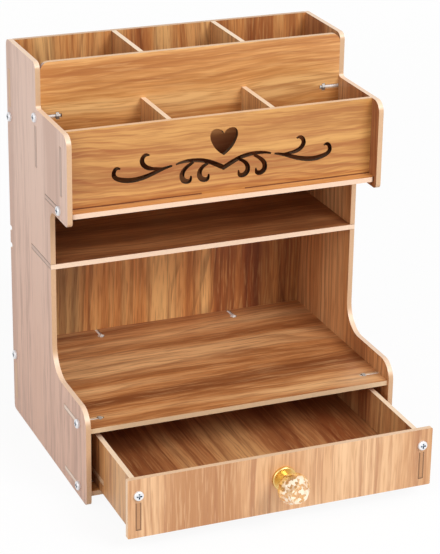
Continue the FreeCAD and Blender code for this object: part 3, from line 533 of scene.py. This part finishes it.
print("boards dressed:", len(boards))


metalWear = {
    "perMetre": 1400.0,
    "share": 0.3,
    "dark": 0.7,
    "roughFrom": (0.3, 0.7),    # wear at the smoothest and the roughest place
    "roughMore": 0.12,
    "scratchDepth": 0.0001,
}


def metalPaint(name, metal, shank=None):
    # shank: the axis and place that part a screw's dull shank from its bright head
    paint = newPaint(name)
    colour = metal["colour"]
    metallic = metal["metallic"]
    wear = paint.noise(paint.spot(), metalWear["perMetre"], 2.0)
    worn = paint.mix(wear * metalWear["share"], colour, darker(colour, metalWear["dark"]))
    if "cross" in metal:
        # painted shade: the cross recess of a screw head is darker where ambient occlusion finds
        # it shut in
        shut = paint.node("ShaderNodeAmbientOcclusion", {"only_local": True, "samples": 8},
                          {"Distance": metal["crossDepth"]}, "AO")
        worn = paint.mix(paint.smooth(shut, *metal["crossFrom"]), worn, metal["cross"])
    if shank:
        axis, place = shank
        along = abs(paint.split(paint.spot(), axisOf(axis))) < place
        worn = paint.mix(along, worn, metal["shank"])
        metallic = metallic - along * metallic
    smoothest = metal["roughness"]
    roughest = smoothest + metalWear["roughMore"]
    return paint.finishPrincipled({
        "Base Color": worn,
        "Metallic": metallic,
        "Roughness": paint.smooth(wear, *metalWear["roughFrom"], smoothest, roughest),
        "Normal": paint.bump(wear, metal["scratch"], metalWear["scratchDepth"]),
    })


steel = {
    "colour": srgb(236, 237, 240),
    "metallic": 0.4,
    "roughness": 0.32,
    "scratch": 0.05,
    # painted shade in the cross recess
    "cross": srgb(84, 108, 128),
    "crossDepth": 0.0016,
    "crossFrom": (0.85, 0.45),
    "shank": (0.94, 0.93, 0.91),
}
screws = {
    # node: axis and how far out from the middle its shanks end and its heads begin,
    # in metres; None where shank and head look alike
    "left_side_screws": ("X", 0.13),
    "right_side_screws": ("X", 0.13),
    "back_screws": ("Y", 0.1484),
    "drawer_front_screws": None,
    "drawer_back_screws": None,
    "knob_screw": None,
}
# nuts in the slots: a darker grey, painted shade of the slots they sit in
shadedNutSteel = {"colour": srgb(158, 150, 142), "metallic": 0.3, "roughness": 0.4, "scratch": 0.1}
# nuts at the back: near white, painted light where they stand lit
litBackNutSteel = {"colour": srgb(246, 242, 236), "metallic": 0.1, "roughness": 0.4, "scratch": 0.1}
gold = {"colour": srgb(238, 204, 134), "metallic": 1.0, "roughness": 0.2, "scratch": 0.04}

for node, shank in screws.items():
    dress(node, metalPaint(node + "_steel", steel, shank))
nutPaint = metalPaint("nut_steel", shadedNutSteel)
for node in ("left_side_nuts", "right_side_nuts", "drawer_front_nuts", "drawer_back_nuts"):
    dress(node, nutPaint)
dress("back_nuts", metalPaint("back_nut_steel", litBackNutSteel))
dress("knob_collar", metalPaint("gold_plate", gold))


crystal = {
    "cells": 420.0,                    # flashes per metre inside the stone
    "cellsBlend": 0.35,
    "facetShift": 0.002,               # how far a facet shifts what shows in it, in metres
    "flashFrom": (0.15, 0.75),
    "flash": srgb(247, 231, 206),      # painted highlight where it throws the light back
    "seenBoard": srgb(222, 178, 126),      # painted colour of the board seen through it
    "warm": srgb(240, 186, 84),        # painted colour of the collar seen through it
    "amber": srgb(190, 112, 24),       # and painted shadow of the collar
    "amberFrom": (0.5, 0.8),
    "collarFrom": 0.75,                # share of the depth where the collar starts to show
    "collarFull": 0.4,                 # and where it shows fully
    "collarLeast": 0.7,                # how much of it the dullest flash shows
    "collarClear": 0.2,                # how much clearer the glass is there
    "clear": 0.35,                     # how solid the clearest place is
    "bright": 0.95,                    # and the brightest
    "glint": 0.25,                     # painted glow, as emission, of light that the collar sends into it
    "haze": 220.0,                     # hazy places per metre
    "hazeFrom": (0.3, 0.7),
    "roughness": (0.0, 0.04),
    "ior": 1.6,
}


def crystalPaint(name):
    # partly clear glass: the facets' flashes, the board behind and the collar seen through it are
    # painted into its colour, with a faint painted glow near the collar
    paint = newPaint(name)
    haze = paint.noise(paint.spot(), crystal["haze"], 2.0)
    shift = paint.vector("MULTIPLY", paint.facing(), (crystal["facetShift"],) * 3)
    cell = paint.node("ShaderNodeTexVoronoi", {"feature": "SMOOTH_F1", "distance": "EUCLIDEAN"}, {
        "Vector": paint.vector("ADD", paint.spot(), shift), "Scale": crystal["cells"],
        "Smoothness": crystal["cellsBlend"], "Randomness": 1.0}, "Color")
    flash = paint.smooth(paint.split(cell, 0), *crystal["flashFrom"])
    low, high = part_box("knob_crystal")
    depth = high[1] - low[1]
    near = paint.smooth(paint.split(paint.spot(), 1), high[1] - depth * crystal["collarFrom"],
                        high[1] - depth * crystal["collarFull"])
    least = crystal["collarLeast"]
    collarSeen = near * (least + paint.split(cell, 1) * (1 - least))
    amber = paint.smooth(paint.split(cell, 2), *crystal["amberFrom"])
    warm = paint.mix(amber, crystal["warm"], crystal["amber"])
    tint = paint.mix(flash, crystal["seenBoard"], crystal["flash"])
    solid = crystal["clear"] + flash * (crystal["bright"] - crystal["clear"])
    return paint.finishPrincipled({
        "Base Color": paint.mix(collarSeen, tint, warm),
        "Emission Color": paint.mix(collarSeen, (0.0, 0.0, 0.0), warm),
        "Emission Strength": crystal["glint"],
        "Roughness": paint.smooth(haze, *crystal["hazeFrom"], *crystal["roughness"]),
        "IOR": crystal["ior"],
        "Alpha": solid * (1.0 - near * crystal["collarClear"]),
    })


dress("knob_crystal", crystalPaint("clear_crystal"))
print("metal and crystal dressed")


studio = {
    "white": (1, 1, 1, 1),
    "floorSize": 6.0,
    "floorWhite": 0.92,
    "floorGlow": 0.92,        # share of the floor that shows plain white beside the object
    "glowFrom": 0.6,          # from here outwards the rest of it turns white too, in metres
    "glowTo": 2.0,
    "worldStrength": 0.53,
    "aim": (0, 0, 0.15),
    "lamps": {
        # name: (place, size, power)
        "key_light": ((0.9, -1.9, 1.9), 1.2, 45.0),
        "fill_light": ((-1.8, -0.9, 1.1), 1.6, 17.0),
    },
}


def whiteRays(paint):
    # 1 where the camera, a reflection or glass looks at the studio itself
    camera, glossy, through = [paint.node("ShaderNodeLightPath", None, None, name) for name in
                               ("Is Camera Ray", "Is Glossy Ray", "Is Transmission Ray")]
    return paint.maths("MAXIMUM", paint.maths("MAXIMUM", camera, glossy), through)


def makeFloor():
    half = studio["floorSize"] / 2
    corners = [(-half, -half, 0), (half, -half, 0), (half, half, 0), (-half, half, 0)]
    mesh = bpy.data.meshes.new("studio_floor")
    mesh.from_pydata(corners, [], [(0, 1, 2, 3)])
    floor = bpy.data.objects.new("studio_floor", mesh)
    bpy.context.scene.collection.objects.link(floor)
    paint = newPaint("pale_floor")
    pale = (studio["floorWhite"],) * 3 + (1,)
    matte = paint.node("ShaderNodeBsdfDiffuse", None, {"Color": pale})
    glow = paint.node("ShaderNodeEmission", None, {"Color": studio["white"], "Strength": 1.0})
    away = paint.node("ShaderNodeVectorMath", {"operation": "LENGTH"}, {0: paint.spot()}, "Value")
    share = paint.smooth(away, studio["glowFrom"], studio["glowTo"], studio["floorGlow"], 1.0)
    share = whiteRays(paint) * share
    blend = paint.node("ShaderNodeMixShader", None, {0: share, 1: matte, 2: glow})
    mesh.materials.append(paint.finish(blend))


def makeWorld():
    world = bpy.data.worlds.new("studio_world")
    bpy.context.scene.world = world
    paint = Paint(world)
    dim = paint.node("ShaderNodeBackground", None, {
        "Color": studio["white"], "Strength": studio["worldStrength"]})
    bright = paint.node("ShaderNodeBackground", None, {"Color": studio["white"], "Strength": 1.0})
    blend = paint.node("ShaderNodeMixShader", None, {0: whiteRays(paint), 1: dim, 2: bright})
    paint.finish(blend, "ShaderNodeOutputWorld")


def makeLamps():
    for name, (place, size, power) in studio["lamps"].items():
        lamp = bpy.data.lights.new(name, "AREA")
        lamp.energy = power
        lamp.size = size
        light = bpy.data.objects.new(name, lamp)
        light.location = place
        aim = Vector(studio["aim"]) - light.location
        light.rotation_euler = aim.to_track_quat("-Z", "Y").to_euler()
        bpy.context.scene.collection.objects.link(light)


view = {
    "azimuth": -22.51,
    "elevation": 22.24,
    "roll": 0.89,
    "distance": 1.71896,
    "target": (0.02103, 0.06345, 0.13014),
    "focalLength": 2109.98,    # in pixels
    "imageWidth": 440,
    "sensorWidth": 36,         # in millimetres
    "farthest": 20,            # what lies further off isn't drawn, in metres
}


def makeCamera():
    azimuth = math.radians(view["azimuth"])
    elevation = math.radians(view["elevation"])
    roll = math.radians(view["roll"])
    back = Vector((math.sin(azimuth) * math.cos(elevation),
                   -math.cos(azimuth) * math.cos(elevation), math.sin(elevation)))
    right = Vector((math.cos(azimuth), math.sin(azimuth), 0))
    up = back.cross(right)
    turnedRight = right * math.cos(roll) + up * math.sin(roll)
    turnedUp = up * math.cos(roll) - right * math.sin(roll)
    data = bpy.data.cameras.new("camera")
    data.sensor_fit = "HORIZONTAL"
    data.sensor_width = view["sensorWidth"]
    data.lens = view["sensorWidth"] * view["focalLength"] / view["imageWidth"]
    data.clip_end = view["farthest"]
    camera = bpy.data.objects.new("camera", data)
    turn = Matrix((turnedRight, turnedUp, back)).transposed().to_4x4()
    place = Vector(view["target"]) + back * view["distance"]
    camera.matrix_world = Matrix.Translation(place) @ turn
    bpy.context.scene.collection.objects.link(camera)
    bpy.context.scene.camera = camera


makeFloor()
makeWorld()
makeLamps()
makeCamera()
bpy.context.scene.view_settings.view_transform = "Standard"
print("studio ready")
